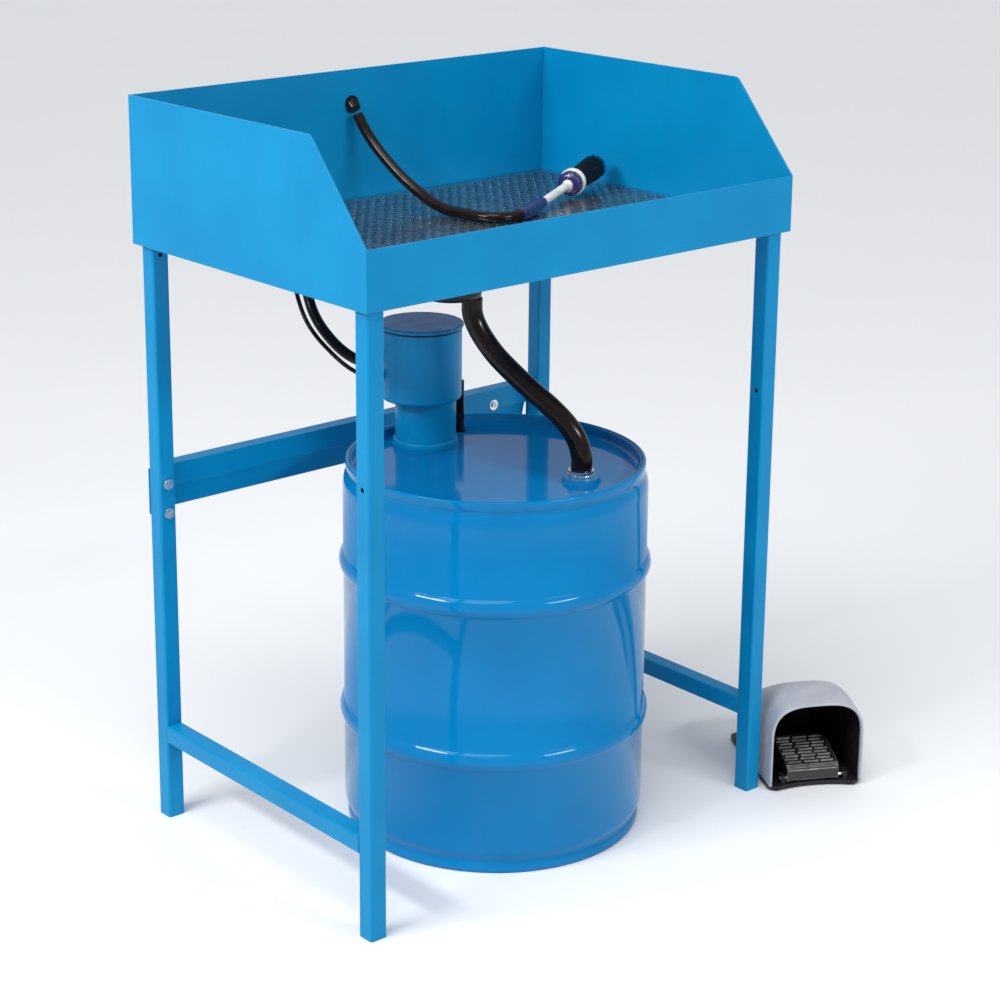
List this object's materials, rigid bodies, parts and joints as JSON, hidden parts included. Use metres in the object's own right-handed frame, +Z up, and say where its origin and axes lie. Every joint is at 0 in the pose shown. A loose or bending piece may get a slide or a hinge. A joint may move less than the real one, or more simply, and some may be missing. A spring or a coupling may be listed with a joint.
{
  "type": "parts washer tank",
  "caption": "Sheet-steel parts washing tub on a tube frame over a drum with pump, supply and drain hoses, cleaning brush and guarded foot switch.",
  "frame": {"origin": "on the floor, below the middle of the whole outfit's bounding box, foot switch included", "axes": "+X to the user's right, +Y from the user to the back wall, +Z up"},
  "size_m": [0.9178, 0.5986, 1.005],
  "materials": {
    "frame_paint": "semi-gloss powder coat",
    "drum_paint": "high-gloss stoving enamel",
    "plated_steel": "bright zinc",
    "galvanised_sheet": "galvanised, perforated",
    "stainless_steel": "satin",
    "rubber_black": "smooth, slightly glossy",
    "plastic_black": "fine grain",
    "plastic_navy": "gloss",
    "plastic_white": "satin gloss",
    "bristle_black": "bundled filaments",
    "hood_grey": "fine-grained moulding"
  },
  "bodies": {
    "root": {"tub": "frame_paint", "leg_front_left": "frame_paint", "leg_front_right": "frame_paint", "leg_rear_left": "frame_paint", "leg_rear_right": "frame_paint", "side_bar_left": "frame_paint", "side_bar_right": "frame_paint", "cross_member": "frame_paint", "leg_sockets": "frame_paint", "leg_end_plugs": "plastic_black", "socket_bolts": "plated_steel", "cross_bolts": "plated_steel", "cross_nuts": "plated_steel", "earth_screw": "plated_steel", "grate_supports": "frame_paint", "drain_trap": "plastic_black", "trap_gasket": "rubber_black", "trap_ring": "plastic_black", "strainer_basket": "stainless_steel", "drum_body": "drum_paint", "drum_head": "drum_paint", "drum_base": "drum_paint", "drain_bung": "plated_steel", "vent_pipe": "rubber_black", "drain_hose": "rubber_black", "pump_collar": "frame_paint", "pump_neck": "frame_paint", "pump_housing": "frame_paint", "pump_gasket": "rubber_black", "pump_lid": "frame_paint", "motor_stator": "plastic_black", "pump_column": "stainless_steel", "pump_chamber": "stainless_steel", "riser_tube": "stainless_steel", "outlet_spigot": "stainless_steel", "inlet_screen": "stainless_steel", "cable_glands": "plastic_black", "supply_hose": "rubber_black", "pump_lead": "rubber_black", "junction_box": "plastic_black", "junction_cover": "plastic_black", "wall_elbow": "plastic_black", "hose_grommet": "rubber_black", "hose_clamps": "plated_steel", "brush_hose_rear": "rubber_black", "switch_base": "plastic_black", "switch_hood": "hood_grey", "contact_block": "hood_grey", "pedal_pin": "plated_steel", "pedal_spring": "plated_steel"},
    "grate": {"grate": "galvanised_sheet", "brush_hose_front": "rubber_black"},
    "brush": {"brush_sleeve": "plastic_navy", "brush_handle": "plastic_white", "brush_ferrule": "plastic_navy", "brush_bristles": "bristle_black"},
    "pedal": {"pedal": "plastic_black"},
    "rotor": {"motor_rotor": "stainless_steel", "pump_shaft": "stainless_steel", "impeller": "plastic_black"}
  },
  "joints": [
    {"name": "grate_lift", "type": "slide", "parent": "root", "child": "grate", "axis": [0, 0, 1], "range_m": [0, 0.085], "deforming": ["brush_hose_rear"]},
    {"name": "brush_lift", "type": "slide", "parent": "grate", "child": "brush", "axis": [0, 0, 1], "range_m": [0, 0.15], "deforming": ["brush_hose_front"]},
    {"name": "pedal_press", "type": "hinge", "parent": "root", "child": "pedal", "pos_m": [0.31825, -0.25388, 0.014], "axis": [-0.8746, 0.4848, 0], "range_deg": [0, 10], "stiffness_Nm_per_rad": 6, "springref_deg": -5.73, "deforming": ["pedal_spring"]},
    {"name": "pump_turn", "type": "hinge", "parent": "root", "child": "rotor", "pos_m": [-0.08889, 0.12233, 0.3], "axis": [0, 0, 1], "continuous": true}
  ]
}
